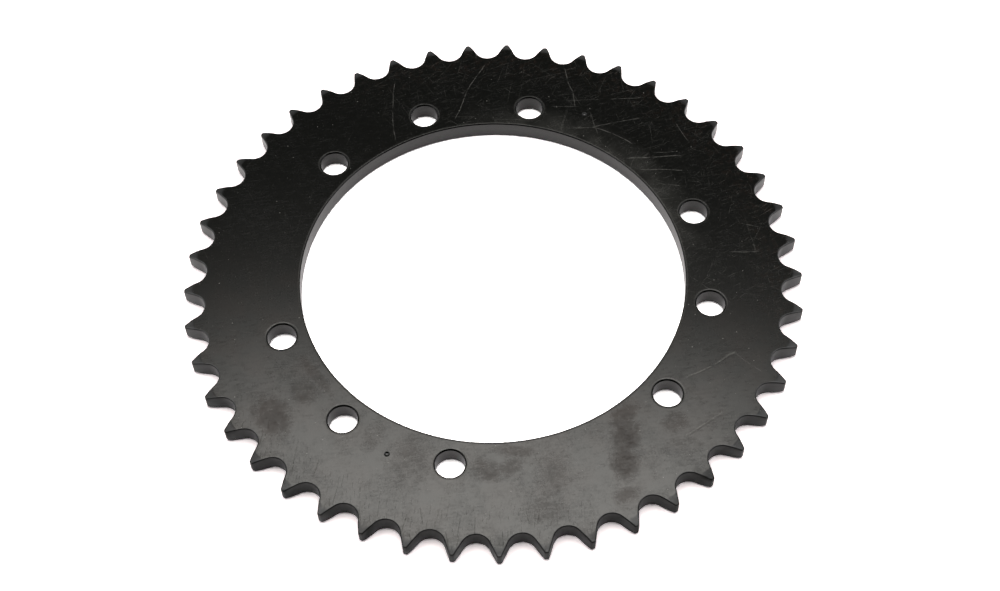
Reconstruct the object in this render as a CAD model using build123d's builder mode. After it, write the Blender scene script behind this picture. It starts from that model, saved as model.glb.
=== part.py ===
"""Rear-wheel chain sprocket: a flat toothed ring of blackened steel plate, in millimetres.

The ring is one piece. Its teeth, relieved towards their tips, run in a half-inch pitch roller chain, its bore
seats on the wheel hub, and three groups of bolt holes fasten it there.

Frame: the origin is on the bore's axis, midway between the two faces, where the chain's centreline runs.
+Z is the axis, out of the outer face, and +Y passes through the middle hole of the first group.
"""

import os
from math import degrees, radians, sin

from build123d import *

# The chain that runs on the teeth: 1/2 inch pitch, 1/4 inch between its inner plates
chain_pitch = 12.7
roller_diameter = 7.77

# Teeth, drawn round the roller that lies in each gap between them
tooth_count = 45
seat_clearance = 0.3  # room between a roller and its seat
seat_angle = 124.6  # how far the seat wraps round its roller
tip_height = 2.2  # tips above the pitch circle
tip_land = 1.15  # width of the narrow land on each tip
tip_rounding = 0.5  # corners of that land
tooth_offset = 1.5  # degrees from a group's middle hole to the next tooth tip

# Plate and the side relief that guides the chain's inner plates over the tips
thickness = 5.8
relief_width = 3.0  # measured inwards from the tips
relief_depth = 0.7  # taken off each face at the tips
relief_radius = 17.5  # the relief steepens towards the tips

# Bore that centres the ring on the wheel hub
bore_diameter = 116.4
bore_chamfer = 0.3

# Bolt holes, in groups that leave an empty place between them
hole_diameter = 8.6
bore_wall = 3.5  # steel between the bore and each hole
hole_chamfer = 0.4
group_count = 3
holes_per_group = 3
hole_spacing = 30.0  # degrees between neighbouring holes of a group

# Two small round dents that a ball-ended punch left in the outer face, opposite each other
dent_offset = 2.5  # outwards from the circle of the bolt holes
dent_diameter = 1.7
dent_depth = 0.4
dent_angle = 44.7  # degrees from +X
dent_count = 2

# What follows from the sizes above
tooth_pitch = 360 / tooth_count
group_pitch = 360 / group_count
first_group = 90.0  # the first group's middle hole is on +Y
pitch_radius = chain_pitch / (2 * sin(radians(tooth_pitch / 2)))
seat_radius = roller_diameter / 2 + seat_clearance
tip_radius = pitch_radius + tip_height
relief_start = tip_radius - relief_width
bolt_radius = bore_diameter / 2 + bore_wall + hole_diameter / 2
group_span = hole_spacing * (holes_per_group - 1)
gap_angle = first_group + tooth_offset + tooth_pitch / 2
dent_ball = ((dent_diameter / 2) ** 2 + dent_depth**2) / (2 * dent_depth)
overshoot = 1.5  # how far cutting profiles run past the tips

# One gap between two teeth, on +X: the roller's seat, and a flank each side that runs on from it to a tooth's land
with BuildSketch() as gap:
    with BuildLine():
        seat = CenterArc((pitch_radius, 0), seat_radius, 180 - seat_angle / 2, seat_angle)
        land_corner = Vector(tip_radius, 0).rotate(Axis.Z, tooth_pitch / 2 - degrees(tip_land / 2 / tip_radius))
        flank = TangentArc(seat @ 0, land_corner, tangent=-(seat % 0))
        clear = Line(flank @ 1, flank @ 1 + (flank % 1) * overshoot)
        mirror(flank, about=Plane.XZ)
        mirror(clear, about=Plane.XZ)
        Line(clear @ 1, ((clear @ 1).X, -(clear @ 1).Y))
    make_face()

# The relieved rim of the blank, as half a section through the axis; its arc runs on past the tips
with BuildSketch(Plane.XZ) as rim_section:
    with BuildLine():
        face_edge = (relief_start, thickness / 2)
        tip_edge = (tip_radius, thickness / 2 - relief_depth)
        over_tooth = RadiusArc(face_edge, tip_edge, relief_radius, mode=Mode.PRIVATE)
        relief_turn = degrees((over_tooth.length + overshoot) / relief_radius)
        relief = JernArc(face_edge, over_tooth % 0, relief_radius, -relief_turn)
        Polyline(relief @ 1, ((relief @ 1).X, 0), (0, 0), (0, thickness / 2), face_edge)
    make_face()
    mirror(about=Plane.XZ)

with BuildPart() as sprocket:
    # Toothed plate, turned so that the gaps fall where the bolt holes want them
    with BuildSketch(Plane.XY.rotated((0, 0, gap_angle))) as outline:
        Circle(tip_radius)
        with PolarLocations(0, tooth_count):
            add(gap.sketch, mode=Mode.SUBTRACT)
        fillet(outline.vertices().group_by(SortBy.DISTANCE)[-1], tip_rounding)
    extrude(amount=thickness / 2, both=True)

    # Side relief of the teeth, on both faces
    add(rim_section.sketch)
    revolve(axis=Axis.Z, mode=Mode.INTERSECT)

    # Bore and bolt holes, with their rims broken on both faces
    Hole(bore_diameter / 2)
    chamfer(sprocket.edges(Select.LAST).filter_by(GeomType.CIRCLE), bore_chamfer)
    for group in range(group_count):
        group_start = first_group + group * group_pitch - group_span / 2
        with PolarLocations(bolt_radius, holes_per_group, group_start, group_span, endpoint=True):
            Hole(hole_diameter / 2)
        chamfer(sprocket.edges(Select.LAST).filter_by(GeomType.CIRCLE), hole_chamfer)

    # Dents in the outer face
    with Locations(Plane.XY.offset(thickness / 2 + dent_ball - dent_depth)):
        with PolarLocations(bolt_radius + dent_offset, dent_count, dent_angle):
            Sphere(dent_ball, mode=Mode.SUBTRACT)

sprocket.part.label = "sprocket"
os.makedirs("parts", exist_ok=True)
export_step(sprocket.part, "parts/sprocket.step")
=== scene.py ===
# %% [markdown]
# # A rear-wheel chain sprocket in black-coated steel
#
# The real part is one flat ring, cut from steel plate: 45 teeth round the outside, a large bore that sits on
# the wheel hub, and nine bolt holes. It lies on a white table. This lesson builds its visible skin with
# Geometry Nodes, coats it with a semi-gloss black, and lights it so that the flat face turns from grey to
# black.
#
# The engineering model of the same ring is loaded first. It fixes every size and place, and it is in metres.

from math import cos, pi, radians, sin

import bpy
from mathutils import Matrix, Vector


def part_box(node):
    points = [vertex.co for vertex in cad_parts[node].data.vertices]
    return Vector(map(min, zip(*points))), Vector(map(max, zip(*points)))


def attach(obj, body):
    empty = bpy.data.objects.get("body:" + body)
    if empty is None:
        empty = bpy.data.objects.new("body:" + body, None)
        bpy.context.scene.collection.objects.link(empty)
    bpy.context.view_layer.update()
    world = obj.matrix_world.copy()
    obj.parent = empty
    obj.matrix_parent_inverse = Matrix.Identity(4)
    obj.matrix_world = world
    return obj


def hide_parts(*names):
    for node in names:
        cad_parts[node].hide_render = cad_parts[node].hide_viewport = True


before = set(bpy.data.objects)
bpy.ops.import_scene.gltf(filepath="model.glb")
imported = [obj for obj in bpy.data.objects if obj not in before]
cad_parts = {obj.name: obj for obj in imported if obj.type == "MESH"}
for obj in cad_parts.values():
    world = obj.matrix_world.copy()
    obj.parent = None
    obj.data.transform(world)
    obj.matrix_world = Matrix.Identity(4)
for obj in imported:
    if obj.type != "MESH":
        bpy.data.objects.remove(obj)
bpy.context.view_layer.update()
ring_low, ring_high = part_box("sprocket")
print("the ring is", [round(1000 * side, 2) for side in ring_high - ring_low], "mm")

# %% [markdown]
# ## The camera
#
# The ring is seen from above, at about 56 degrees, with a fairly long lens, so that it is only a little wider
# in front than behind. A camera is a place and three directions: right, up and back. Here the directions are
# worked out first, turned by a small roll, and written as the columns of one matrix, which is easier to
# follow than a set of rotation angles.

# %% Place the camera
def added(name, data):
    """A new object in the scene."""
    made = bpy.data.objects.new(name, data)
    bpy.context.scene.collection.objects.link(made)
    return made


camera_side = radians(-108.42)  # where it stands, counted round from +X
camera_height = radians(56.06)  # how steeply it looks down
camera_roll = radians(-1.615)
camera_reach = 0.4891  # from the middle of the ring
camera_offset = (0.00214, -0.00377)  # to the right, and up
camera_lens = 57.71

back = Vector((
    cos(camera_side) * cos(camera_height),
    sin(camera_side) * cos(camera_height),
    sin(camera_height),
))
level = Vector((-sin(camera_side), cos(camera_side), 0))
upright = back.cross(level)
right = level * cos(camera_roll) + upright * sin(camera_roll)
up = upright * cos(camera_roll) - level * sin(camera_roll)
ring_foot = Vector((0, 0, ring_low.z))
spot = ring_foot + right * camera_offset[0] + up * camera_offset[1] + back * camera_reach

camera = added("camera", bpy.data.cameras.new("camera"))
camera.data.lens = camera_lens
camera.data.sensor_fit = "HORIZONTAL"
camera.matrix_world = Matrix.Translation(spot) @ Matrix((right, up, back)).transposed().to_4x4()
bpy.context.scene.camera = camera
bpy.context.scene.view_settings.view_transform = "Standard"
print("the camera stands at", [round(1000 * place) for place in spot], "mm")

# %% [markdown]
# ## Wiring nodes with short lines
#
# Node trees are clearer as formulas than as lists of links. The first helpers add a node and feed it in one
# line. The next let a socket be used in plain arithmetic, where each sign adds one Math node. The last make
# an empty group, whose inputs are then read by name.

# %% Helpers that add and feed nodes
def feed(socket, value):
    """Links a value to a socket if it comes from another node, and otherwise types it in."""
    if isinstance(value, Number):
        value = value.socket
    if isinstance(value, bpy.types.NodeSocket):
        socket.id_data.links.new(value, socket)
    else:
        socket.default_value = value


def put(tree, kind, feeds=None, **settings):
    """Adds a node, changes its settings, and feeds the named or numbered sockets."""
    node = tree.nodes.new(kind)
    for name, value in settings.items():
        setattr(node, name, value)
    for key, value in (feeds or {}).items():
        feed(node.inputs[key], value)
    return node


print("feed and put are ready")

# %% Let sockets be used in formulas
def calc(operation, *values):
    """A Math node. At least one value has to be a Number, which says in which tree the node goes."""
    tree = next(value for value in values if isinstance(value, Number)).socket.id_data
    return Number(put(tree, "ShaderNodeMath", dict(enumerate(values)), operation=operation).outputs[0])


class Number:
    """A socket that carries a number, for use in formulas."""

    def __init__(self, socket):
        self.socket = socket

    def __add__(self, other):
        return calc("ADD", self, other)

    def __sub__(self, other):
        return calc("SUBTRACT", self, other)

    def __rsub__(self, other):
        return calc("SUBTRACT", other, self)

    def __mul__(self, other):
        return calc("MULTIPLY", self, other)

    def __truediv__(self, other):
        return calc("DIVIDE", self, other)

    def __rtruediv__(self, other):
        return calc("DIVIDE", other, self)

    __radd__ = __add__
    __rmul__ = __mul__

    def clamp(self):
        """The number kept between 0 and 1."""
        return Number(put(self.socket.id_data, "ShaderNodeClamp", {"Value": self}).outputs[0])


print("a Number can be added, multiplied and clamped")

# %% Make empty groups
def group(kind, name, inputs, outputs):
    """An empty node group, its inputs by name, its output node. Inputs are numbers or kinds of sockets."""
    tree = bpy.data.node_groups.new(name, kind + "NodeTree")
    for label, value in inputs.items():
        socket = {float: "Float", int: "Int"}.get(type(value), value)
        made = tree.interface.new_socket(label, in_out="INPUT", socket_type="NodeSocket" + socket)
        if socket != value:
            made.default_value = value
    for label, socket in outputs.items():
        tree.interface.new_socket(label, in_out="OUTPUT", socket_type="NodeSocket" + socket)
    entry = tree.nodes.new("NodeGroupInput")
    sockets = {out.name: out for out in entry.outputs if out.name}
    given = {name: out if isinstance(inputs[name], str) else Number(out) for name, out in sockets.items()}
    return tree, given, tree.nodes.new("NodeGroupOutput")


def tell(tree):
    """Says how large a tree has become."""
    print("the tree", tree.name, "has", len(tree.nodes), "nodes")


print("group and tell are ready")

# %% [markdown]
# ## Surfaces of revolution
#
# The bore, the bolt holes and the punched dents are all turned shapes. One small tree makes them all: it
# sweeps a section, drawn with X as the radius and Z as the height, round a circle. Curve to Mesh makes the
# faces, and each vertex is then put exactly at its own radius and height along its own spoke, so that the
# edge of the surface meets the flat face point for point. A little unevenness, which fades at the two ends of
# the section, gives the rim the life of a hand-broken edge.

# %% Helpers for geometry nodes
def geo(tree, kind, feeds=None, **settings):
    """A geometry node's first output, with the node named by the end of its kind."""
    return put(tree, "GeometryNode" + kind, feeds, **settings).outputs[0]


def split(tree, vector):
    """The three numbers in a vector."""
    return [Number(out) for out in put(tree, "ShaderNodeSeparateXYZ", {0: vector}).outputs]


def join(tree, *numbers):
    """A vector made of up to three numbers."""
    return put(tree, "ShaderNodeCombineXYZ", dict(enumerate(numbers))).outputs[0]


def placed_at(tree, geometry, *coordinates):
    """A geometry with each of its points moved to its own X, Y and Z."""
    return geo(tree, "SetPosition", {"Geometry": geometry, "Position": join(tree, *coordinates)})


def waves(tree, place, scale, detail=3.0):
    """Soft random numbers around 0.5, with about so many blobs to each unit of length."""
    feeds = {"Vector": place, "Scale": scale, "Detail": detail}
    return Number(put(tree, "ShaderNodeTexNoise", feeds).outputs[0])


def stored(tree, geometry, name, value, kind="FLOAT_VECTOR"):
    """Keeps a value on each point under a name, so that the swept mesh inherits it."""
    feeds = {"Geometry": geometry, "Name": name, "Value": value}
    return geo(tree, "StoreNamedAttribute", feeds, data_type=kind)


def recalled(tree, name, kind="FLOAT_VECTOR"):
    """Reads a value that stored() kept."""
    return geo(tree, "InputNamedAttribute", {"Name": name}, data_type=kind)


print("geometry can be moved, and can carry values")

# %% Build the turned-surface tree
turned, given, result = group(
    "Geometry",
    "turned_surface",
    {"Section": "Geometry", "Steps": 96, "Unevenness": 0.0, "Unevenness Scale": 0.4},
    {"Surface": "Geometry"},
)
here = geo(turned, "InputPosition")
circle = geo(turned, "CurvePrimitiveCircle", {"Resolution": given["Steps"], "Radius": 1.0})
circle = stored(turned, circle, "spoke", here)
is_end = geo(turned, "CurveEndpointSelection")
section = stored(turned, given["Section"], "section", here)
section = stored(turned, section, "loose", 1 - Number(is_end), "FLOAT")
swept = geo(turned, "CurveToMesh", {"Curve": circle, "Profile Curve": section})
spoke_x, spoke_y, _ = split(turned, recalled(turned, "spoke"))
radius, _, height = split(turned, recalled(turned, "section"))
even_place = join(turned, spoke_x * radius, spoke_y * radius, height)
wander = waves(turned, even_place, given["Unevenness Scale"]) - 0.5
radius = radius + wander * given["Unevenness"] * Number(recalled(turned, "loose", "FLOAT"))
placed = placed_at(turned, swept, spoke_x * radius, spoke_y * radius, height)
feed(result.inputs["Surface"], geo(turned, "FlipFaces", {"Mesh": placed}))
tell(turned)

# %% [markdown]
# ## The section of a broken rim
#
# Where the bore or a hole meets the face there is a narrow border, then a 45 degree chamfer, then the wall.
# The section runs from the upper face down to the lower one: six corners, found from how many steps each is
# from the nearer end, and rounded by Fillet Curve.
#
# The corner where the border ends also carries the number 1 in a named attribute, and the others 0. It fades
# from point to point along the section, and tells the coating later where to paint a highlight line along the
# border.

# %% Build the rim-section tree
rim_section, given, result = group(
    "Geometry",
    "broken_rim_section",
    {
        "Radius": 4.3,
        "Chamfer": 0.4,
        "Border": 0.4,
        "Border Fall": 0.01,
        "Half Thickness": 2.9,
        "Rounding": 0.1,
    },
    {"Section": "Geometry"},
)
corner_count = 6
corner = Number(geo(rim_section, "InputIndex"))
from_end = calc("MINIMUM", corner, (corner_count - 1) - corner)
side = calc("SIGN", (corner_count - 1) / 2 - corner)
beside_chamfer = calc("LESS_THAN", from_end, 1.5)
on_face = calc("LESS_THAN", from_end, 0.5)
radius = given["Radius"] + given["Chamfer"] * beside_chamfer + given["Border"] * on_face
depth = given["Border Fall"] * (1 - on_face) + given["Chamfer"] * (1 - beside_chamfer)
corners = geo(rim_section, "MeshLine", {"Count": corner_count})
corners = placed_at(rim_section, corners, radius, 0.0, side * (given["Half Thickness"] - depth))
corners = stored(rim_section, corners, "border_highlight", beside_chamfer - on_face, "FLOAT")
line = geo(rim_section, "MeshToCurve", {"Mesh": corners})
rounding = {"Curve": line, "Count": 4, "Radius": given["Rounding"], "Limit Radius": True}
feed(result.inputs["Section"], geo(rim_section, "FilletCurve", rounding, mode="POLY"))
tell(rim_section)

# %% [markdown]
# ## The toothed rim
#
# A roller of the chain lies in each gap between two teeth. Seen from the middle of the ring, the outline is
# one radius for each angle: the near side of the roller's seat, then a flank that carries on from it almost
# straight, a rounded corner, and the narrow land on the tip. One tooth could be modelled and copied round,
# but a formula keeps the seams out and lets the chain's own sizes drive every tooth.

# %% Name the sizes of the toothed rim
toothed, given, result = group(
    "Geometry",
    "toothed_rim",
    {
        "Chain Pitch": 12.7,
        "Tooth Count": 45,
        "Roller Diameter": 7.77,
        "Seat Clearance": 0.3,
        "Seat Angle": radians(124.6),
        "Tip Height": 2.2,
        "Tip Land": 1.15,
        "Tip Rounding": 0.5,
        "First Gap": 0.0,
        "Half Thickness": 2.9,
        "Relief Width": 3.0,
        "Relief Depth": 0.7,
        "Relief Radius": 17.5,
        "Edge Rounding": 0.4,
        "Edge Unevenness": 0.15,
        "Inner Radius": 84.5,
        "Steps Per Tooth": 48,
        "Edge Steps": 5,
        "Relief Steps": 4,
    },
    {"Rim": "Geometry", "Inner Loop": "Geometry"},
)
tell(toothed)

# %% Work out the sizes that follow from them
half_pitch_angle = pi / given["Tooth Count"]
pitch_radius = given["Chain Pitch"] / calc("SINE", half_pitch_angle) / 2
seat_radius = given["Roller Diameter"] / 2 + given["Seat Clearance"]
tip_radius = pitch_radius + given["Tip Height"]
half_seat = given["Seat Angle"] / 2
seat_end_x = pitch_radius - seat_radius * calc("COSINE", half_seat)
seat_end_y = seat_radius * calc("SINE", half_seat)
seat_end_angle = calc("ARCTAN2", seat_end_y, seat_end_x)
land_angle = half_pitch_angle - given["Tip Land"] / 2 / tip_radius
tell(toothed)

# %% [markdown]
# The flank is an arc from the end of the seat to where it would meet the land, found from its chord. The
# corner is an arc that touches both the flank and the land. Its middle follows from a triangle whose three
# sides are known.

# %% Work out the flank and the rounded corner
def polar(radius, angle):
    """X and Y, from a radius and an angle."""
    return radius * calc("COSINE", angle), radius * calc("SINE", angle)


land_x, land_y = polar(tip_radius, land_angle)
run_x, run_y = land_x - seat_end_x, land_y - seat_end_y
run = calc("SQRT", run_x * run_x + run_y * run_y)
rise = pi / 2 - half_seat
flank_bend = calc("ARCTAN2", run_y, run_x) - rise
flank_radius = run / 2 / calc("SINE", flank_bend)
flank_x = seat_end_x - flank_radius * calc("SINE", rise)
flank_y = seat_end_y + flank_radius * calc("COSINE", rise)

# The rounded corner: its middle is one rounding inside both the flank's arc and the tips' circle
corner_radius = given["Tip Rounding"]
corner_reach = tip_radius - corner_radius
from_flank = flank_radius - corner_radius
flank_reach = calc("SQRT", flank_x * flank_x + flank_y * flank_y)
between = (flank_reach * flank_reach + corner_reach * corner_reach - from_flank * from_flank) / (
    flank_reach * corner_reach * 2
)
corner_end_angle = calc("ARCTAN2", flank_y, flank_x) - calc("ARCCOSINE", between)
corner_x, corner_y = polar(corner_reach, corner_end_angle)
touch = flank_radius / from_flank
touch_x, touch_y = flank_x + (corner_x - flank_x) * touch, flank_y + (corner_y - flank_y) * touch
corner_start_angle = calc("ARCTAN2", touch_y, touch_x)
tell(toothed)

# %% [markdown]
# Now the tree draws the outline as one closed curve. It starts as a circle, and each of its points is moved
# in or out to where a ray from the middle of the ring meets the stretch that it belongs to.

# %% Draw the outline
def ramp(number, start, end):
    """0 where a number is before the start, 1 past the end, and even in between."""
    return ((number - start) / (end - start)).clamp()


# Where each point stands: its nearest gap, and its angle from the middle of that gap
step = Number(geo(toothed, "InputIndex"))
steps = given["Steps Per Tooth"]
nearest_gap = calc("FLOOR", step / steps + 0.5)
along = (step / steps - nearest_gap) * 2
share = calc("ABSOLUTE", along)
seat_share, flank_share, corner_share = 1 / 2, 2 / 3, 11 / 12  # of the steps: where each stretch ends
from_gap = (
    seat_end_angle * ramp(share, 0, seat_share)
    + (corner_start_angle - seat_end_angle) * ramp(share, seat_share, flank_share)
    + (corner_end_angle - corner_start_angle) * ramp(share, flank_share, corner_share)
    + (half_pitch_angle - corner_end_angle) * ramp(share, corner_share, 1)
)


def along_ray(middle_x, middle_y, arc_radius, which):
    """How far out a ray from the ring's middle meets an arc: where it enters (-1) or leaves it (+1)."""
    beside = middle_y * cosine - middle_x * sine
    reach = calc("SQRT", calc("MAXIMUM", arc_radius * arc_radius - beside * beside, 0.0))
    return middle_x * cosine + middle_y * sine + reach * which


hair = 1e-5  # an angle too small to see, so that a point on a corner belongs to the stretch before it
sine, cosine = calc("SINE", from_gap), calc("COSINE", from_gap)
outline_radius = along_ray(pitch_radius, 0.0, seat_radius, -1)
for start_angle, stretch in (
    (seat_end_angle, along_ray(flank_x, flank_y, flank_radius, 1)),
    (corner_start_angle, along_ray(corner_x, corner_y, corner_radius, 1)),
    (corner_end_angle, tip_radius),
):
    past = calc("GREATER_THAN", from_gap, start_angle + hair)
    outline_radius = outline_radius + (stretch - outline_radius) * past
turn = given["First Gap"] + nearest_gap * half_pitch_angle * 2 + from_gap * calc("SIGN", along)
outline = geo(toothed, "CurvePrimitiveCircle", {"Resolution": given["Tooth Count"] * steps})
outline = placed_at(toothed, outline, *polar(outline_radius, turn))

# Each point also remembers where the face ends above it, one edge rounding inwards
here = geo(toothed, "InputPosition")
heading_x, heading_y, _ = split(toothed, geo(toothed, "InputTangent"))
here_x, here_y, _ = split(toothed, here)
edge_waves = 0.35  # of the edge's unevenness, to each millimetre
wander = waves(toothed, here, edge_waves) - 0.5
inset = given["Edge Rounding"] * (1 + given["Edge Unevenness"] * wander * 4)
inset_point = join(toothed, here_x - heading_y * inset, here_y + heading_x * inset)
outline = stored(toothed, outline, "outline", here)
outline = stored(toothed, outline, "inset", inset_point)
tell(toothed)

# %% [markdown]
# A row of stations is swept round the outline, from the flat face, over the side relief that narrows each
# tip, round the edge, down the wall and back underneath. As with the turned surfaces, the stations only carry
# numbers: each vertex finds its place from its point on the outline and its number in the row.

# %% Sweep the stations and place each vertex
# The stations are numbered outwards from the middle of the wall to both flat faces
edge_steps, relief_steps = given["Edge Steps"], given["Relief Steps"]
last_station = edge_steps + relief_steps + 2
row = geo(toothed, "MeshLine", {"Count": last_station * 2 + 1, "Offset": (0, 0, 0.1)})
row = geo(toothed, "MeshToCurve", {"Mesh": row})
row = stored(toothed, row, "station", Number(geo(toothed, "InputIndex")) - last_station, "FLOAT")
lattice = geo(toothed, "CurveToMesh", {"Curve": outline, "Profile Curve": row})

# The place of a vertex, from its station
station = Number(recalled(toothed, "station", "FLOAT"))
from_middle = calc("ABSOLUTE", station)
outline_x, outline_y, _ = split(toothed, recalled(toothed, "outline"))
inset_x, inset_y, _ = split(toothed, recalled(toothed, "inset"))
inset_radius = calc("SQRT", inset_x * inset_x + inset_y * inset_y)
gap_x, gap_y = outline_x - inset_x, outline_y - inset_y
edge = calc("SQRT", gap_x * gap_x + gap_y * gap_y)
round_angle = (1 - ((from_middle - 1) / edge_steps).clamp()) * (pi / 2)
over_relief = ((from_middle - 1 - edge_steps) / relief_steps).clamp()
to_inner = (from_middle - 1 - edge_steps - relief_steps).clamp()
relief_start = tip_radius - given["Relief Width"]
flat_radius = calc("MINIMUM", inset_radius, relief_start)
row_radius = inset_radius + (flat_radius - inset_radius) * over_relief
row_radius = row_radius + (given["Inner Radius"] - row_radius) * to_inner
scale = row_radius / inset_radius
out = calc("SINE", round_angle)
place_x = (inset_x + gap_x * out) * scale
place_y = (inset_y + gap_y * out) * scale
tell(toothed)

# %% Lower the side relief
# How far it drops below the face: an arc that starts gently and steepens towards the tip
relief_width, relief_depth, relief_radius = (given["Relief " + part] for part in ("Width", "Depth", "Radius"))
chord = calc("SQRT", relief_width * relief_width + relief_depth * relief_depth)
relief_slope = calc("ARCTAN2", relief_depth, relief_width) - calc("ARCSINE", chord / 2 / relief_radius)
into_relief = calc("MAXIMUM", row_radius - relief_start, 0.0)
arc_x = into_relief + relief_radius * calc("SINE", relief_slope)
arc_z = calc("SQRT", relief_radius * relief_radius - arc_x * arc_x)
drop = relief_radius * calc("COSINE", relief_slope) - arc_z
surface = given["Half Thickness"] - drop - edge * (1 - calc("COSINE", round_angle))
place_z = surface * from_middle.clamp() * calc("SIGN", station)
rim = placed_at(toothed, lattice, place_x, place_y, place_z)
is_flat = calc("GREATER_THAN", from_middle, last_station - 0.9)
rim = geo(toothed, "SetShadeSmooth", {"Geometry": rim, "Selection": is_flat, "Shade Smooth": False})
feed(result.inputs["Rim"], geo(toothed, "FlipFaces", {"Mesh": rim}))

# The circle on the face where the rim stops, with the same spokes
inset_x, inset_y, _ = split(toothed, recalled(toothed, "inset"))
shrink = given["Inner Radius"] / calc("SQRT", inset_x * inset_x + inset_y * inset_y)
feed(result.inputs["Inner Loop"], placed_at(toothed, outline, inset_x * shrink, inset_y * shrink))
tell(toothed)

# %% [markdown]
# ## The whole ring
#
# The last tree puts the pieces together. Fill Curve spans the flat face between the toothed rim's inner loop,
# the bore and the holes, once above with the dents and once below without them. The turned rims and dents
# close the openings. Everything up to here is drawn in millimetres, and one Transform at the end makes it
# metres.

# %% Name the sizes of the ring
ring, given, result = group(
    "Geometry",
    "sprocket_skin",
    {
        "Half Thickness": 2.9,
        "Bore Diameter": 116.4,
        "Bore Chamfer": 0.3,
        "Bore Rounding": 0.1,
        "Bore Border": 0.5,
        "Hole Diameter": 8.6,
        "Hole Chamfer": 0.4,
        "Hole Rounding": 0.1,
        "Hole Border": 0.5,
        "Bore Wall": 3.5,
        "Rim Unevenness": 0.06,
        "Dent Offset": 2.5,
        "Dent Diameter": 1.7,
        "Dent Depth": 0.4,
        "Dent Angle": radians(44.7),
        "Bore Steps": 480,
        "Hole Steps": 80,
        "Dent Steps": 32,
        "Coating": "Material",
    },
    {"Skin": "Geometry"},
)
half_thickness = given["Half Thickness"]
bolt_radius = given["Bore Diameter"] / 2 + given["Bore Wall"] + given["Hole Diameter"] / 2
first_hole_group, tooth_offset, tooth_pitch = 90, 1.5, 360 / 45  # degrees
first_gap = radians(first_hole_group + tooth_offset + tooth_pitch / 2)
rim_feeds = {"Half Thickness": half_thickness, "First Gap": first_gap}
rim_group = put(ring, "GeometryNodeGroup", rim_feeds, node_tree=toothed)
tell(ring)

# %% Helpers for openings and faces
def circle_of(radius, steps):
    """A circle on the face, for Fill Curve to stop at."""
    return geo(ring, "CurvePrimitiveCircle", {"Resolution": steps, "Radius": radius})


def surface_of(section, steps, unevenness):
    """A section turned round the Z axis."""
    feeds = {"Section": section, "Steps": steps, "Unevenness": unevenness}
    return geo(ring, "Group", feeds, node_tree=turned)


def rim_and_edge(opening):
    """The broken rims and the wall of the bore or of a hole, and the circle where they meet the face."""
    radius, steps = given[opening + " Diameter"] / 2, given[opening + " Steps"]
    chamfer, rounding, border = (given[opening + part] for part in (" Chamfer", " Rounding", " Border"))
    sizes = {"Radius": radius, "Chamfer": chamfer, "Rounding": rounding, "Border": border}
    section = geo(ring, "Group", {**sizes, "Half Thickness": half_thickness}, node_tree=rim_section)
    rim = surface_of(section, steps, given["Rim Unevenness"])
    return rim, circle_of(radius + chamfer + border, steps)


def ring_points(count, radius, angle_of):
    """Points round a circle, each at the angle that a formula gives for its number."""
    angle = angle_of(Number(geo(ring, "InputIndex")))
    place = join(ring, *polar(radius, angle))
    return geo(ring, "Points", {"Count": count, "Position": place})


def at_points(points, instance):
    """One copy of a piece on each point."""
    copies = geo(ring, "InstanceOnPoints", {"Points": points, "Instance": instance})
    return geo(ring, "RealizeInstances", {"Geometry": copies})


def joined(*geometries):
    """Several geometries as one."""
    node = put(ring, "GeometryNodeJoinGeometry")
    for geometry in geometries:
        ring.links.new(geometry, node.inputs[0])
    return node.outputs[0]


def moved(geometry, height):
    """A geometry lifted or lowered."""
    return geo(ring, "Transform", {"Geometry": geometry, "Translation": join(ring, 0.0, 0.0, height)})


def face_between(*loops):
    """The flat surface that the loops bound, shaded flat."""
    filled = geo(ring, "FillCurve", {"Curve": joined(*loops)}, mode="TRIANGLES")
    return geo(ring, "SetShadeSmooth", {"Geometry": filled, "Shade Smooth": False})


print("openings can be made, copied and joined to faces")

# %% Make the bore, the holes and the dents
# Nine holes: places 30 degrees apart round the bolt circle, with every fourth one left out
hole_count, holes_per_group, hole_spacing, first_hole = 9, 3, radians(30), radians(60)
hole_points = ring_points(
    hole_count,
    bolt_radius,
    lambda index: (index + calc("FLOOR", index / holes_per_group)) * hole_spacing + first_hole,
)
hole_rim, hole_edge = rim_and_edge("Hole")
bore_rim, bore_edge = rim_and_edge("Bore")

# Two punched dents: the bottom of a ball, turned about its own axis
dent_radius, dent_depth = given["Dent Diameter"] / 2, given["Dent Depth"]
ball = (dent_radius * dent_radius + dent_depth * dent_depth) / dent_depth / 2
dent_step_count = 7
dent_index = Number(geo(ring, "InputIndex"))
dent_reach = dent_radius * (1 - dent_index / (dent_step_count - 1))
dent_z = half_thickness + ball - dent_depth - calc("SQRT", ball * ball - dent_reach * dent_reach)
dent_line = geo(ring, "MeshLine", {"Count": dent_step_count})
dent_line = placed_at(ring, dent_line, dent_reach, 0.0, dent_z)
dent_section = geo(ring, "MeshToCurve", {"Mesh": dent_line})
dent_count, dent_circle = 2, bolt_radius + given["Dent Offset"]
dent_points = ring_points(dent_count, dent_circle, lambda index: given["Dent Angle"] + index * pi)
dent = surface_of(dent_section, given["Dent Steps"], 0.0)
dent_edges = at_points(dent_points, circle_of(dent_radius, given["Dent Steps"]))
tell(ring)

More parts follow.
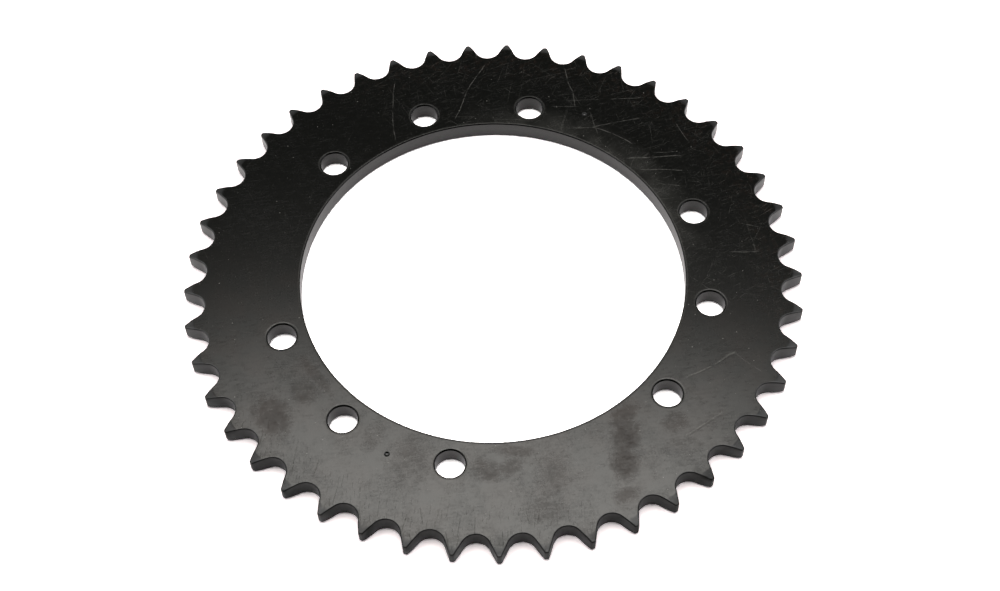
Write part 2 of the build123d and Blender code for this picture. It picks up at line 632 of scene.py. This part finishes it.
# %% Close the faces and weld the skin
hole_edges = at_points(hole_points, hole_edge)
inner_loop = rim_group.outputs["Inner Loop"]
upper_face = moved(face_between(inner_loop, bore_edge, hole_edges, dent_edges), half_thickness)
lower_face = moved(face_between(inner_loop, bore_edge, hole_edges), half_thickness * -1)
lower_face = geo(ring, "FlipFaces", {"Mesh": lower_face})
hole_rims, dents = at_points(hole_points, hole_rim), at_points(dent_points, dent)
skin = joined(rim_group.outputs["Rim"], bore_rim, hole_rims, dents, upper_face, lower_face)
seam, metres = 0.002, 0.001  # how far apart welded points may be, and one millimetre in metres
skin = geo(ring, "MergeByDistance", {"Geometry": skin, "Distance": seam})
skin = geo(ring, "Transform", {"Geometry": skin, "Scale": (metres,) * 3})
skin = geo(ring, "RealizeInstances", {"Geometry": skin})
skin = geo(ring, "SetMaterial", {"Geometry": skin, "Material": given["Coating"]})
feed(result.inputs["Skin"], skin)
tell(ring)

# %% [markdown]
# ## Marks, one kind at a time
#
# The steel wears a thin black lacquer with a soft gloss. Nearly all that is seen of it is reflection: the
# lacquer itself is almost black, so the face is bright only where it mirrors a lamp, and every mark on it
# shows as a change of gloss. Long scratches and fingerprints sit where they happened to be made, so they are
# placed one by one. Hairlines and dust are everywhere, so they are scattered at random. Each kind is one
# small shader group that takes a place in millimetres and puts out a mask, and the coating uses it as often
# as it needs.
#
# A scratch is the simplest: how far is this place from the line between two points? It fades towards its
# edges, and its ends taper because the tool that made it was landing or lifting.

# %% Build the scratch
def vector_calc(tree, operation, *values):
    """A Vector Math node: a Number where it measures something, and otherwise a vector."""
    node = put(tree, "ShaderNodeVectorMath", dict(enumerate(values)), operation=operation)
    if operation in ("DOT_PRODUCT", "LENGTH", "DISTANCE"):
        return Number(node.outputs["Value"])
    return node.outputs["Vector"]


def scaled(tree, vector, factor):
    """A vector times a number."""
    feeds = {0: vector, "Scale": factor}
    return put(tree, "ShaderNodeVectorMath", feeds, operation="SCALE").outputs["Vector"]


scratch, given, result = group(
    "Shader",
    "scratch",
    {"Place": "Vector", "From": "Vector", "To": "Vector", "Width": 0.2},
    {"Mask": "Float"},
)
run = vector_calc(scratch, "SUBTRACT", given["To"], given["From"])
off = vector_calc(scratch, "SUBTRACT", given["Place"], given["From"])
share = vector_calc(scratch, "DOT_PRODUCT", off, run) / vector_calc(scratch, "DOT_PRODUCT", run, run)
aside = vector_calc(scratch, "DISTANCE", off, scaled(scratch, run, share.clamp()))
taper = 1 - calc("POWER", calc("ABSOLUTE", share * 2 - 1).clamp(), 6.0)
mask = (1 - ramp(aside / given["Width"], 0.15, 0.6)) * taper
feed(result.inputs["Mask"], mask)
tell(scratch)

# %% [markdown]
# A finger leaves an oval of skin grease with the ridges of the skin in it, half a millimetre apart. The oval
# is a distance from its middle, measured in a turned and stretched frame, and noise makes its border ragged.
# The ridges are a sine of the distance, bent by more noise.

# %% Build the smudge
def spun(tree, vector, angle):
    """A vector turned round the Z axis."""
    feeds = {0: vector, "Angle": angle}
    return put(tree, "ShaderNodeVectorRotate", feeds, rotation_type="Z_AXIS").outputs[0]


def noise(tree, place, size, detail=3.0):
    """Soft random numbers, by how large their blobs are."""
    return waves(tree, place, 1 / size, detail)


smudge, given, result = group(
    "Shader",
    "smudge",
    {
        "Place": "Vector",
        "Middle": "Vector",
        "Turn": 0.0,
        "Half Size": "Vector",
        "Ridge Spacing": 0.5,
        "Ridge Share": 0.3,
    },
    {"Mask": "Float"},
)
off = vector_calc(smudge, "SUBTRACT", given["Place"], given["Middle"])
turned_off = spun(smudge, off, given["Turn"])
oval = vector_calc(smudge, "LENGTH", vector_calc(smudge, "DIVIDE", turned_off, given["Half Size"]))
ragged = noise(smudge, given["Place"], 2.0)
skin = noise(smudge, given["Place"], 5.0, detail=2.0)
half_length, _, _ = split(smudge, given["Half Size"])
ridges = calc("SINE", (oval * half_length / given["Ridge Spacing"] + skin * 6) * (pi * 2))
patchy = ramp(noise(smudge, given["Place"], 1.8), 0.32, 0.62)
inside = 1 - ramp(oval + (ragged - 0.5) * 0.7, 0.5, 1.15)
mask = inside * (0.9 + patchy * 0.25) * (1 - given["Ridge Share"] * (0.5 + ridges * 0.5))
feed(result.inputs["Mask"], mask)
tell(smudge)

# %% [markdown]
# Hairlines come from wiping and stacking: short, straight, and in all directions. A Voronoi texture cuts the
# face into random cells and says where each cell's middle is. Its random colour turns a short line through
# that middle to a direction of its own, and leaves most cells empty. The same cells, with a dot in place of a
# line, make dust.

# %% Build the hairlines and the dust
def scattered(tree, place, cell):
    """Random cells: the node, and the three random numbers that each cell keeps."""
    cells = put(tree, "ShaderNodeTexVoronoi", {"Vector": place, "Scale": 1 / cell}, voronoi_dimensions="2D")
    colour = put(tree, "ShaderNodeSeparateColor", {0: cells.outputs["Color"]})
    return cells, [Number(out) for out in colour.outputs]


hairlines, given, result = group(
    "Shader",
    "hairlines",
    {"Place": "Vector", "Cell": 4.0, "Width": 0.12, "Share": 0.5, "Heading": 0.0, "Spread": pi},
    {"Mask": "Float"},
)
cells, (chance, spin, size) = scattered(hairlines, given["Place"], given["Cell"])
off = vector_calc(hairlines, "SUBTRACT", given["Place"], cells.outputs["Position"])
angle = given["Heading"] + (spin - 0.5) * given["Spread"]
along, aside, _ = split(hairlines, spun(hairlines, off, angle))
half_length = given["Cell"] * (0.25 + size * 0.5)
line = 1 - ramp(calc("ABSOLUTE", aside) / given["Width"], 0.2, 0.5)
line = line * (1 - ramp(calc("ABSOLUTE", along) / half_length, 0.5, 1.0))
feed(result.inputs["Mask"], line * calc("LESS_THAN", chance, given["Share"]) * (0.4 + size * 0.6))
tell(hairlines)

dust, given, result = group(
    "Shader",
    "dust",
    {"Place": "Vector", "Cell": 5.0, "Speck": 0.16, "Share": 0.3},
    {"Mask": "Float"},
)
cells, (chance, size, _) = scattered(dust, given["Place"], given["Cell"])
radius = given["Speck"] * (0.4 + size)
speck = 1 - ramp(Number(cells.outputs["Distance"]) * given["Cell"] / radius, 0.6, 1.0)
feed(result.inputs["Mask"], speck * calc("LESS_THAN", chance, given["Share"]))
tell(dust)

# %% [markdown]
# ## The coating
#
# Now the material. It reads Object coordinates, in millimetres here, so that every mark stays where it is
# when the ring is looked at from another side. Two directions matter: how squarely a place faces up or down,
# and its angle round the ring. The marks are given by angle and radius, as a mechanic would describe them.

# %% Start the coating
coating = bpy.data.materials.new("black_coating")
coating.use_nodes = True
coat = coating.node_tree
lacquer = coat.nodes["Principled BSDF"]
coordinates = put(coat, "ShaderNodeTexCoord")
millimetres = 1000.0  # in a metre
place = scaled(coat, coordinates.outputs["Object"], millimetres)
facing = split(coat, coordinates.outputs["Normal"])[2]  # 1 where a place faces up, -1 where it faces down
steepness = calc("ABSOLUTE", facing)
sloping, level_enough = 0.93, 0.99
face_up, face_either = ramp(facing, sloping, level_enough), ramp(steepness, sloping, level_enough)
on_face = vector_calc(coat, "MULTIPLY", place, (1, 1, 0))
unit_place = vector_calc(coat, "NORMALIZE", on_face)
from_axis = vector_calc(coat, "LENGTH", on_face)
bends, waver = 0.12, 1.4  # a stroke's bends to each millimetre, and how far it strays, in millimetres
drift = put(coat, "ShaderNodeTexNoise", {"Vector": on_face, "Scale": bends, "Detail": 2.0}).outputs["Color"]
drift = vector_calc(coat, "MULTIPLY", vector_calc(coat, "SUBTRACT", drift, (0.5,) * 3), (waver, waver, 0))
wavering = vector_calc(coat, "ADD", on_face, drift)


def spot_at(angle, radius):
    """A place on the ring, in millimetres, from its angle in degrees and its radius."""
    return (radius * cos(radians(angle)), radius * sin(radians(angle)), 0.0)


def round_about(angle, half_width, fade):
    """1 on the part of the ring that lies within so many degrees of an angle."""
    toward = vector_calc(coat, "DOT_PRODUCT", unit_place, spot_at(angle, 1.0))
    faded, full = (cos(radians(width)) for width in (half_width + fade, half_width))
    return ramp(toward, faded, full)


def marks(tree, of_each):
    """Several masks of one kind, each with its own settings, as the strongest of them."""
    strongest = 0.0
    for strength, settings in of_each:
        mask = Number(put(coat, "ShaderNodeGroup", settings, node_tree=tree).outputs[0])
        strongest = calc("MAXIMUM", mask * strength, strongest)
    return strongest


print("material", coating.name, "reads places in millimetres")

# %% Draw the long scratches
# Each is a path of (angle, radius), its width in millimetres, and how strongly it shows
long_scratches = {
    "teeth_to_dent": ([(54, 85), (52.5, 80), (50, 76), (48, 70.5)], 0.34, 0.9),
    "dent_to_hole": ([(47, 71), (54, 68)], 0.28, 0.7),
    "first_across": ([(72, 84), (77, 73), (82, 61)], 0.34, 0.9),
    "second_across": ([(93, 84), (97, 72.5), (102, 60)], 0.30, 0.8),
    "short_by_the_teeth": ([(34.5, 84.5), (41, 78)], 0.28, 0.9),
    "long_bent": ([(32, 77), (37, 69.5), (41, 65), (47, 61)], 0.34, 0.8),
    "along_the_bore": ([(28, 66.5), (35, 66), (41, 65)], 0.34, 1.0),
    "crossing": ([(38, 63), (44, 70.5)], 0.25, 0.7),
    "pair_outer": ([(17, 74.5), (21.5, 66.5), (26, 60.5)], 0.40, 1.0),
    "pair_inner": ([(18.5, 74.5), (22.5, 68)], 0.26, 0.7),
    "beside_the_pair": ([(12.5, 72), (20.5, 60.5)], 0.36, 0.9),
    "last_parallel": ([(8, 69), (13.5, 61)], 0.28, 0.6),
    "tick_by_the_teeth": ([(25, 82.5), (19, 80)], 0.28, 0.7),
    "right_radial": ([(345, 81.5), (345.5, 72)], 0.36, 0.8),
    "right_tick": ([(351, 84), (353, 78)], 0.28, 0.9),
    "right_gouge": ([(306, 67.2), (312.8, 72.2), (317.6, 76)], 0.55, 1.0),
    "gouge_end": ([(316.2, 74.4), (318, 76.8)], 0.70, 0.9),
    "gouge_tail": ([(317.7, 76.6), (316.2, 82.4), (315.5, 86)], 0.34, 0.6),
    "gouge_echo": ([(294.3, 78.6), (304.1, 82.1)], 0.55, 1.0),
    "near_tick": ([(248.5, 83.5), (250, 80.5)], 0.35, 0.7),
    "near_the_print": ([(253.5, 66), (255, 60)], 0.25, 0.5),
}
# The two deep gouges also get a dull stroke on their near side, which paints shade there
gouge_shade_strokes = {
    "right_gouge": ([(305.6, 67.5), (317.2, 76.3)], 0.4, 1.0),
    "gouge_echo": ([(294.0, 79.0), (303.8, 82.5)], 0.4, 1.0),
}


def stroke_marks(scratches):
    """Scratches drawn stroke by stroke along their paths."""
    strokes = [
        (strength, {"Place": wavering, "From": spot_at(*start), "To": spot_at(*stop), "Width": width})
        for path, width, strength in scratches.values()
        for start, stop in zip(path, path[1:])
    ]
    return marks(scratch, strokes)


long_marks, gouge_painted_shade = stroke_marks(long_scratches), stroke_marks(gouge_shade_strokes)
print(len(long_scratches), "long scratches and", len(gouge_shade_strokes), "gouge_shade_strokes")

# %% Press the fingerprints
# Angle and radius of the middle, how far the long way leans from the rim's direction, half sizes, strength
prints = {
    "left_palm": (198.5, 80, 8, 8.2, 5.6, 0.50),
    "left_thumb": (197.8, 68, 0, 4.8, 4.2, 0.30),
    "left_drag": (196, 62.5, 0, 8.5, 1.8, 0.26),
    "tip_by_the_hole": (249, 67.5, 20, 4.8, 3.6, 0.38),
    "second_tip": (254.5, 66.5, -25, 5.0, 2.6, 0.42),
    "bore_edge_tip": (256, 61.5, 12, 6.2, 2.3, 0.38),
    "near_thumb": (264, 71, -64, 8.4, 5.0, 0.22),
    "near_drag": (260.5, 81, 0, 7.0, 4.6, 0.24),
    "dark_upper": (280, 74.5, -60, 6.4, 4.6, 0.54),
    "dark_middle": (284, 68, -50, 6.4, 4.6, 0.50),
    "dark_lower": (287, 62.5, -20, 6.0, 3.8, 0.46),
    "by_the_right_hole": (295.3, 73.5, 20, 4.2, 3.4, 0.36),
    "right_rim": (276.5, 84, 0, 4.5, 2.4, 0.34),
    "brown_streak": (219.5, 65, 80, 6.5, 3.4, 0.18),
    "brown_field": (230.5, 69, 70, 10.5, 8.0, 0.20),
}


def press(angle, radius, lean, half_long, half_wide, strength):
    """One smudge: its strength, and what its node is fed."""
    turn, middle = -radians(angle + 90 - lean), spot_at(angle, radius)
    half_size = (half_long, half_wide, 50.0)
    return strength, {"Place": on_face, "Middle": middle, "Turn": turn, "Half Size": half_size}


pressed = marks(smudge, [press(*row) for row in prints.values()]) * face_up
print(len(prints), "fingerprints and smudges")

# %% Scatter the hairlines and the dust
handled = round_about(32, 52, 28)  # the stretch that was rubbed most
by_the_bore = 1 - ramp(from_axis, 59.0, 68.0)
cloudy = noise(coat, on_face, 7.0, detail=2.0)
rubbed = round_about(30, 22, 30) * by_the_bore * ramp(cloudy, 0.2, 0.7)
wipe_heading = radians(-68)  # across the near teeth, where the ring was wiped
grinding = radians(-12)  # the way the plate was ground before it was coated, which still shows a little


def shifted(distance):
    """The place on the face, moved so that no two layers share their cells."""
    return vector_calc(coat, "ADD", wavering, (distance * 11, distance * 7, 0))


def hairline_layers(*layers, **direction):
    """Hairlines by cell, width, share of the cells and strength, which may all keep to one direction."""
    return marks(
        hairlines,
        [
            (strength, {"Place": shifted(cell), "Cell": cell, "Width": width, "Share": share, **direction})
            for cell, width, share, strength in layers
        ],
    )


crossed_layers = (15.0, 0.20, 0.8, 0.7), (8.0, 0.18, 0.8, 0.7), (4.0, 0.16, 0.8, 0.7), (1.6, 0.16, 0.7, 0.6)
crossed = hairline_layers(*crossed_layers)
polished = hairline_layers((3.1, 0.15, 0.9, 0.8), Heading=grinding, Spread=0.35)
crossed = calc("MAXIMUM", crossed, polished)
everywhere = hairline_layers((9.0, 0.14, 0.5, 1.0), (3.5, 0.10, 0.4, 0.6))
wide_wipes = {"Place": on_face, "Cell": 5.0, "Width": 0.30, "Share": 0.9, "Spread": 0.5}
fine_wipes = {"Place": shifted(2.2), "Cell": 2.2, "Width": 0.24, "Share": 0.8, "Spread": 0.3}
wiped = marks(
    hairlines,
    [(1.0, {**wide_wipes, "Heading": wipe_heading}), (0.8, {**fine_wipes, "Heading": wipe_heading})],
)
by_the_teeth = ramp(from_axis, 76.0, 82.0)
wiped = wiped * round_about(230, 30, 16) * (0.12 + by_the_teeth * 0.88) * face_up
fine_dust = {"Place": on_face, "Cell": 1.6, "Speck": 0.07, "Share": 0.2}
specks = marks(dust, [(1.0, {"Place": on_face}), (0.6, fine_dust)])
border_highlight = Number(put(coat, "ShaderNodeAttribute", attribute_name="border_highlight").outputs["Fac"])
broken = ramp(noise(coat, place, 1.2, detail=4.0), 0.35, 0.6)
scuffs = (0.04 + handled * 0.6) * (0.25 + broken * 0.75) * (0.35 + ramp(cloudy, 0.3, 0.7) * 0.65)
scored = calc("MAXIMUM", long_marks * (0.16 + broken * 0.5), crossed * scuffs)
scored = calc("MAXIMUM", scored * face_up, everywhere * face_either * broken * 0.3)
print("hairlines, dust and rubbed stretches are masks now")

# %% [markdown]
# What do the marks do? Where the lacquer is scored it scatters light: its colour turns from black towards
# grey and the place is rough. Grease takes the gloss off, and leaves a brown tint. So the clear coat's weight
# carries the gloss and is lowered by each mark, and the layer below has a roughness of its own, which the
# marks raise.
#
# The gloss is never quite even. The plate was ground before it was coated, and fine ridges that run one way
# still show as relief, though less on the near side. Beside two deep gouges the gloss is taken off in a
# stroke, which paints shade on their near side.
#
# Walls are finer: they keep the marks of the cutter, lines that run round the ring, each at its own height.
# The walls of the bore and the holes are a little paler, which paints the light of the table that they
# mirror.
# The broken rims of the bore and the holes took little of the clear coat and look dark. The cut edges of the
# teeth are a little dull, and those of the near teeth much duller, which paints the shade of the table there.

# %% Mix the unevenness of the coating
near = 243  # the middle of the near side, in degrees round the ring
grain = noise(coat, place, 0.45)
mottled = noise(coat, place, 3.0, detail=4.0)
tooth_dirt = noise(coat, place, 5.0)
blotches = noise(coat, place, 14.0)
breathed_on = round_about(near, 60, 35) * ramp(noise(coat, on_face, 11.0, detail=2.0), 0.42, 0.62) * face_up
greasy_teeth = round_about(near, 45, 30) * ramp(from_axis, 86.0, 91.0) * ramp(tooth_dirt, 0.3, 0.7)
tan = handled * ramp(from_axis, 76.0, 84.0) * ramp(broken * mottled, 0.3, 0.6) * face_up

# The ridges that grinding left are five times as long as they are wide
with_grinding = vector_calc(coat, "DOT_PRODUCT", on_face, (cos(grinding), sin(grinding), 0))
across_grinding = vector_calc(coat, "DOT_PRODUCT", on_face, (-sin(grinding), cos(grinding), 0))
ground = noise(coat, join(coat, with_grinding / 5, across_grinding, 0.0), 0.7)
ground_shows = 1.1 - round_about(near, 42, 30) * 0.7
uneven = 0.09 + (mottled - 0.5) * 0.5 + (blotches - 0.5) * 0.6 + (grain - 0.5) * 0.7
uneven = uneven + (ground - 0.5) * ground_shows

# Walls and edges: the lines that the cutter left, the broken rims of the holes, the cut edges of the teeth
cutter = noise(coat, vector_calc(coat, "MULTIPLY", place, (0.12, 0.12, 4.0)), 1.0)
on_wall = 1 - ramp(steepness, 0.2, 0.5)
past_the_holes = ramp(from_axis, 74.0, 76.0)
broken_edge = ramp(steepness, 0.3, 0.5) * (1 - ramp(steepness, 0.9, 0.97)) * (1 - past_the_holes)
cut_edge = (1 - face_either) * past_the_holes
# Cut edges lose a little gloss all round; the near ones lose much more, which paints the shade that they
# mirror from the table
dull_and_painted_shade = 0.12 + round_about(251, 45, 40) * 0.43
# The rim border: its paleness paints a highlight line there, and it also takes some gloss off
edge = (border_highlight * 1.6).clamp() * face_either * (0.7 + broken * 0.3)
print("the unevenness is mixed")

# %% Finish the coating
def mixed(tree, share, first, second):
    """Two colours mixed, as a colour."""
    return put(tree, "ShaderNodeMix", {0: share, 6: first, 7: second}, data_type="RGBA").outputs[2]


# How much each mark does: how far it pales the lacquer or turns it brown, and how much gloss it takes
scored_pale, wiped_pale, speck_pale, rubbed_pale, border_painted_highlight, wall_painted_light = 0.09, 0.03, 0.10, 0.028, 0.018, 0.008
press_brown, tan_brown, breath_brown = 0.016, 0.004, 0.004
scored_dull, wiped_dull, edge_dull, greasy_dull, broken_edge_dull = 0.5, 0.60, 0.3, 0.45, 0.75
black, chalky, skin_brown = (0.0006, 0.0008, 0.0003, 1), (1.0, 0.98, 0.90, 1), (1.0, 0.45, 0.26, 1)

paleness = scored * scored_pale + wiped * wiped_pale + specks * face_up * speck_pale
# The last term paints a highlight line along the rim borders of the bore and the holes
paleness = paleness + rubbed * face_up * rubbed_pale * (0.4 + grain) + edge * border_painted_highlight
# The walls of the bore and the holes are paled: painted light, for the lit table that they mirror
paleness = paleness + on_wall * (1 - cut_edge) * wall_painted_light
brownness = pressed * press_brown + tan * tan_brown + breathed_on * breath_brown
pigment = mixed(coat, paleness.clamp(), black, chalky)
feed(lacquer.inputs["Base Color"], mixed(coat, brownness.clamp(), pigment, skin_brown))

dulled = pressed + scored * scored_dull + wiped * wiped_dull + edge * edge_dull
dulled = dulled + uneven * face_either + cut_edge * dull_and_painted_shade + greasy_teeth * greasy_dull
# The gouges' painted shade: gloss taken off in strokes on their near side
dulled = (dulled + gouge_painted_shade * face_up * (0.1 + broken * 0.4)).clamp()
gloss_roughness = 0.17
feed(lacquer.inputs["Coat Weight"], (1 - dulled) * (1 - broken_edge * broken_edge_dull))
feed(lacquer.inputs["Coat Roughness"], gloss_roughness)
feed(lacquer.inputs["Coat IOR"], 1.5)
feed(lacquer.inputs["IOR"], 1.25)
feed(lacquer.inputs["Roughness"], (gloss_roughness + dulled * 0.4 + on_wall * 0.1).clamp())

# The relief is in units of a few thousandths of a millimetre
relief_height = (grain - 0.5) * 0.5 + (mottled - 0.5) * 0.8 + (ground - 0.5) * 1.5 - scored * 2.0
relief_height = relief_height + (cutter - 0.5) * on_wall * 3.0
relief_unit = 0.000004  # metres
bump = put(coat, "ShaderNodeBump", {"Height": relief_height, "Distance": relief_unit})
feed(lacquer.inputs["Normal"], bump.outputs[0])
print("the coating has", len(coat.nodes), "nodes")

# %% Run the tree and keep the mesh
def socket_of(tree, label):
    """The identifier of a tree's input, which is what a modifier is set by."""
    items = tree.interface.items_tree
    return next(item.identifier for item in items if item.name == label and item.in_out == "INPUT")


carrier = added("carrier", bpy.data.meshes.new("carrier"))
modifier = carrier.modifiers.new("sprocket_skin", "NODES")
modifier.node_group = ring
modifier[socket_of(ring, "Half Thickness")] = millimetres * ring_high.z
modifier[socket_of(ring, "Coating")] = coating
evaluated = carrier.evaluated_get(bpy.context.evaluated_depsgraph_get())
skin_mesh = bpy.data.meshes.new_from_object(evaluated)
bpy.data.objects.remove(carrier)
skin_mesh.name = "sprocket_skin"
for helper in ("spoke", "section", "loose", "outline", "inset", "station"):
    skin_mesh.attributes.remove(skin_mesh.attributes[helper])
sprocket = added("sprocket_skin", skin_mesh)
print("the skin has", len(skin_mesh.vertices), "vertices and", len(skin_mesh.polygons), "faces")

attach(sprocket, "root")
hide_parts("sprocket")

# %% [markdown]
# ## Table, lamp and sky
#
# The table is a plain white sheet. Its own colour reflects most of the lamp's light to the ring. The camera
# alone sees the sheet in a stronger colour, so that it turns pure white without lighting the ring any more.
# Inside the bore and the holes that colour is stronger still, which paints light over the ring's shade there.
# Far away it glows, for the camera and in mirror-like reflections, and so stays white up to the horizon. One
# large soft lamp hangs beyond the ring, so that the near part of the face mirrors it and the far part does
# not.

# %% Lay the table
table_size = 6.0
half = table_size / 2
table_mesh = bpy.data.meshes.new("table")
corners = [(-half, -half, 0), (half, -half, 0), (half, half, 0), (-half, half, 0)]
table_mesh.from_pydata(corners, [], [(0, 1, 2, 3)])
table = added("table", table_mesh)
table.location.z = ring_low.z

white = bpy.data.materials.new("white_table")
white.use_nodes = True
white_tree = white.node_tree
white_tree.nodes.remove(white_tree.nodes["Principled BSDF"])
path = put(white_tree, "ShaderNodeLightPath").outputs
to_camera = Number(path["Is Camera Ray"])
seen = (to_camera + Number(path["Is Glossy Ray"]) + Number(path["Is Transmission Ray"])).clamp()
paper_lit, paper_shown, painted_light_inside = (0.87, 0.84, 0.85, 1), (1.85, 1.71, 1.73, 1), (2.9, 2.8, 2.8, 1)
place = put(white_tree, "ShaderNodeTexCoord").outputs["Object"]
from_middle = vector_calc(white_tree, "LENGTH", place)
past_holes = ramp(from_middle, 0.078, 0.082)  # under the ring, where the change isn't seen
# Inside the bore and the holes the camera sees a stronger colour, which paints light over the ring's shade on
# the table
paper = mixed(white_tree, past_holes, painted_light_inside, paper_shown)
paper = mixed(white_tree, to_camera, paper_lit, paper)
diffuse = put(white_tree, "ShaderNodeBsdfDiffuse", {"Color": paper}).outputs[0]
horizon = ramp(from_middle, 0.3, 0.8) * seen * (0.5 + to_camera * 0.5)
glow = put(white_tree, "ShaderNodeEmission", {"Strength": horizon}).outputs[0]
shown = put(white_tree, "ShaderNodeAddShader", {0: diffuse, 1: glow}).outputs[0]
feed(white_tree.nodes["Material Output"].inputs["Surface"], shown)
table_mesh.materials.append(white)
print("the table is", table_size, "m wide, and its top is at", round(1000 * table.location.z, 2), "mm")

# %% Hang the lamp
lamp_height = 1.2
lamp_near, lamp_far = -0.06, 0.68  # beyond the middle of the ring, as the camera looks
lamp_left, lamp_right = -0.40, 0.295
lamp_fade = 0.18  # the width over which the light falls off at each edge
lamp_turn = radians(-6)
lamp_radiance, lamp_slope = 4.1, 0.14  # and how much brighter its right end is than its left
away = camera_side + pi  # the camera's heading
lamp_data = bpy.data.lights.new("lamp", "AREA")
lamp_data.shape = "RECTANGLE"
lamp_data.size = lamp_right - lamp_left + lamp_fade
lamp_data.size_y = lamp_far - lamp_near + lamp_fade
lamp_data.energy = lamp_radiance * pi * lamp_data.size * lamp_data.size_y
lamp_data.color = (1.0, 0.975, 0.925)
lamp_data.use_nodes = True
lamp_tree = lamp_data.node_tree
across, down, _ = split(lamp_tree, put(lamp_tree, "ShaderNodeNewGeometry").outputs["Parametric"])
fade_x = calc("MINIMUM", across, 1 - across) * (lamp_data.size / lamp_fade)
fade_y = calc("MINIMUM", down, 1 - down) * (lamp_data.size_y / lamp_fade)
strength = fade_x.clamp() * fade_y.clamp() * (1 - lamp_slope / 2 + across * lamp_slope)
feed(lamp_tree.nodes["Emission"].inputs["Strength"], strength)
lamp = added("lamp", lamp_data)
lamp_reach, lamp_aside = (lamp_near + lamp_far) / 2, (lamp_left + lamp_right) / 2
forwards = Vector((cos(away), sin(away), 0))
sideways = Vector((sin(away), -cos(away), 0))
lamp.location = forwards * lamp_reach + sideways * lamp_aside + Vector((0, 0, lamp_height))
lamp.rotation_euler.z = away - pi / 2 + lamp_turn
lamp.visible_camera = False
print("the lamp is", [round(side, 2) for side in (lamp_data.size, lamp_data.size_y)], "m")

# %% Paint the sky
world = bpy.data.worlds.new("sky")
bpy.context.scene.world = world
world.use_nodes = True
sky = world.node_tree
direction = put(sky, "ShaderNodeTexCoord").outputs["Generated"]
across, along, sine_up = split(sky, spun(sky, direction, pi / 2 - away))
elevation = calc("ARCSINE", sine_up) * (180 / pi)
azimuth = calc("ABSOLUTE", calc("ARCTAN2", across, along) * (180 / pi))
side_level, low_level, dark_level = 2.6, 0.6, 0.03
far_patch = (1 - ramp(azimuth, 24, 80)) * (1 - ramp(elevation, 62, 72))
near_patch = ramp(azimuth, 100, 130) * (1 - ramp(elevation, 65, 75))
high_glow = side_level + (dark_level - side_level) * far_patch
glow = low_level + (high_glow - low_level) * ramp(elevation, 21, 46)
glow = glow + (dark_level - glow) * near_patch


def within(number, start, end, fade):
    """1 from the start to the end, and fading out over a width at both."""
    rise = ramp(number, start - fade / 2, start + fade / 2)
    return rise * (1 - ramp(number, end - fade / 2, end + fade / 2))


# The lamp hides the sky behind it: each direction is followed up to the lamp's height. A sky has no distance,
# so the lamp's near edge is put where the near teeth see it.
near_teeth = 0.09
climb = calc("MAXIMUM", sine_up, 0.1) / lamp_height
behind_lamp = within(across / climb, lamp_left, lamp_right, lamp_fade)
behind_lamp = behind_lamp * within(along / climb, lamp_near + near_teeth, lamp_far, lamp_fade)
glow = glow * (1 - behind_lamp)
is_camera = Number(put(sky, "ShaderNodeLightPath").outputs["Is Camera Ray"])
background = sky.nodes["Background"]
feed(background.inputs["Strength"], glow + is_camera * (1 - glow))
background.inputs["Color"].default_value = (1, 1, 1, 1)
print("the sky has", len(sky.nodes), "nodes")
